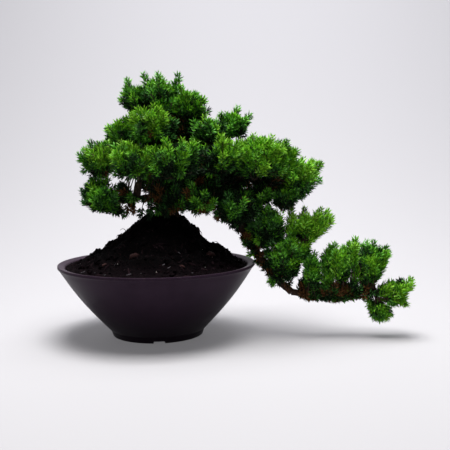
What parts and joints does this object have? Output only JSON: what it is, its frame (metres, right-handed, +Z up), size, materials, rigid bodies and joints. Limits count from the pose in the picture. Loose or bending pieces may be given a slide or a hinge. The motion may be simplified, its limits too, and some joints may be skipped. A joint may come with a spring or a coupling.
{
  "type": "cascade juniper bonsai",
  "caption": "Cascade-style juniper bonsai in a round training pot: a mounded soil bed, a short trunk, a rounded crown and one limb that hangs over the rim.",
  "frame": {"origin": "centre of the flat underside of the pot", "axes": "+Z up along the pot's axis, +X towards the limb that cascades over the rim, -Y towards the viewer of the picture"},
  "size_m": [0.4071, 0.23, 0.3042],
  "materials": {
    "pot_plastic": "satin dark brown moulded plastic",
    "soil": "matte, crumbly",
    "bark": "matte, fissured",
    "needles": "matte to satin green"
  },
  "bodies": {
    "root": {"pot": "pot_plastic", "soil": "soil", "trunk": "bark", "bough_left": "bark", "bough_low_left": "bark", "bough_front": "bark", "bough_right": "bark", "bough_upper_right": "bark", "bough_back": "bark", "bough_back_left": "bark", "bough_back_right": "bark", "cascade_limb": "bark", "cascade_far": "bark", "bough_far_right": "bark", "side_limb": "bark", "foliage_apex": "needles", "foliage_apex_left": "needles", "foliage_apex_right": "needles", "foliage_crown_front": "needles", "foliage_shoulder_left": "needles", "foliage_upper_centre": "needles", "foliage_upper_right": "needles", "foliage_left": "needles", "foliage_front_left": "needles", "foliage_front": "needles", "foliage_front_right": "needles", "foliage_right": "needles", "foliage_far_right": "needles", "foliage_back": "needles", "foliage_back_left": "needles", "foliage_back_right": "needles", "foliage_low_back": "needles", "foliage_low_back_right": "needles", "foliage_low_left": "needles", "foliage_left_under": "needles", "foliage_low_centre": "needles", "foliage_low_front": "needles", "foliage_low_right": "needles", "foliage_low_mid_right": "needles", "foliage_low_far_right": "needles", "foliage_limb_upper": "needles", "foliage_shoots": "needles", "foliage_inner": "needles", "foliage_small": "needles", "foliage_cascade_a": "needles", "foliage_cascade_b": "needles", "foliage_cascade_tip": "needles", "foliage_cascade_low": "needles"}
  },
  "joints": []
}
